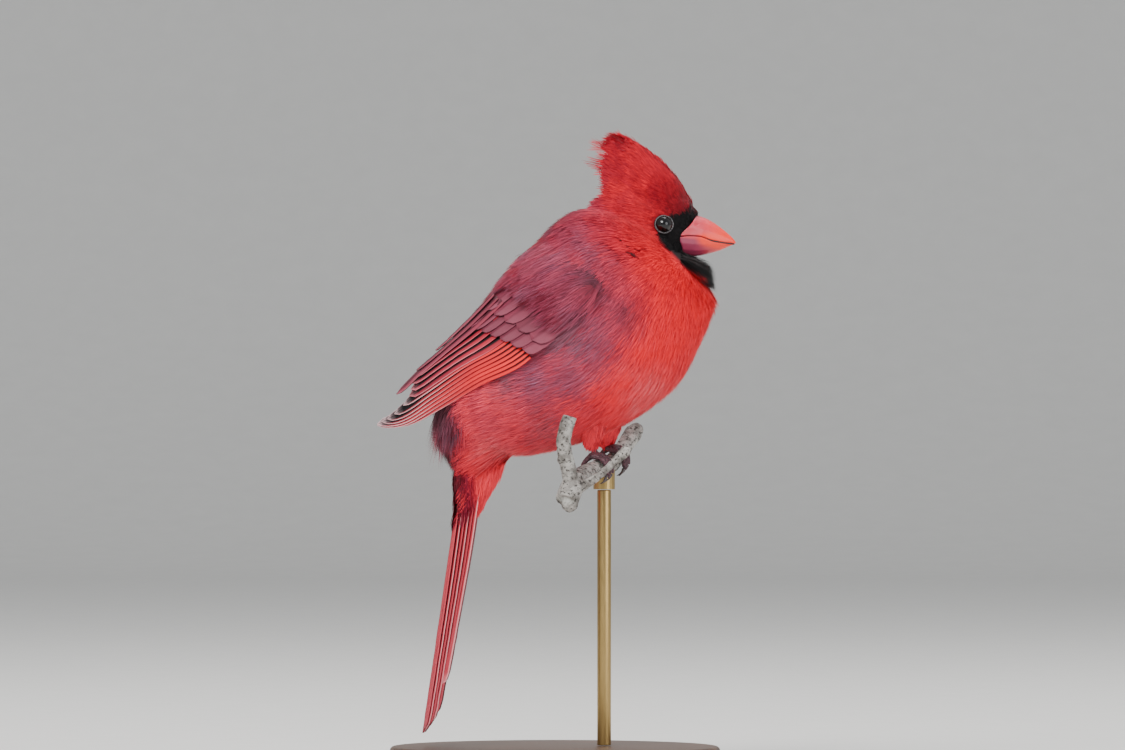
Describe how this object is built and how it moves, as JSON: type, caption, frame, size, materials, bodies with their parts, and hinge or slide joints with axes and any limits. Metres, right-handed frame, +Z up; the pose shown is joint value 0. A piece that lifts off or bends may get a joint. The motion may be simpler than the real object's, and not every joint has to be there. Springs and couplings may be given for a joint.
{
  "type": "northern cardinal figure",
  "caption": "Life-size male cardinal, crested and fluffed, gripping a cut length of twig that a rod holds over a round base, tail hanging.",
  "frame": {"origin": "centre of the display stand's underside, on the surface it stands on", "axes": "+X the way the bill points, +Y the bird's left, +Z up"},
  "size_m": [0.13, 0.12, 0.2303],
  "materials": {
    "plumage": "soft feathers",
    "crest": "soft feathers",
    "flight_feathers": "smooth vanes",
    "bill": "smooth horn",
    "eye": "wet and glossy",
    "leg": "scaled skin",
    "claw": "horn",
    "bark": "rough lichened bark",
    "base": "oiled dark wood",
    "rod": "satin"
  },
  "bodies": {
    "root": {"torso": "plumage", "neck": "plumage", "head": "plumage", "crest": "crest", "bill_upper": "bill", "bill_lower": "bill", "eye_left": "eye", "eye_right": "eye", "wing_left": "flight_feathers", "wing_right": "flight_feathers", "tail": "flight_feathers", "leg_right": "leg", "foot_right": "leg", "claw_right_hind": "claw", "claw_right_inner": "claw", "claw_right_middle": "claw", "claw_right_outer": "claw", "leg_left": "leg", "foot_left": "leg", "claw_left_hind": "claw", "claw_left_inner": "claw", "claw_left_middle": "claw", "claw_left_outer": "claw", "perch": "bark", "stand_base": "base", "stand_rod": "rod", "stand_cup": "rod"}
  },
  "joints": []
}
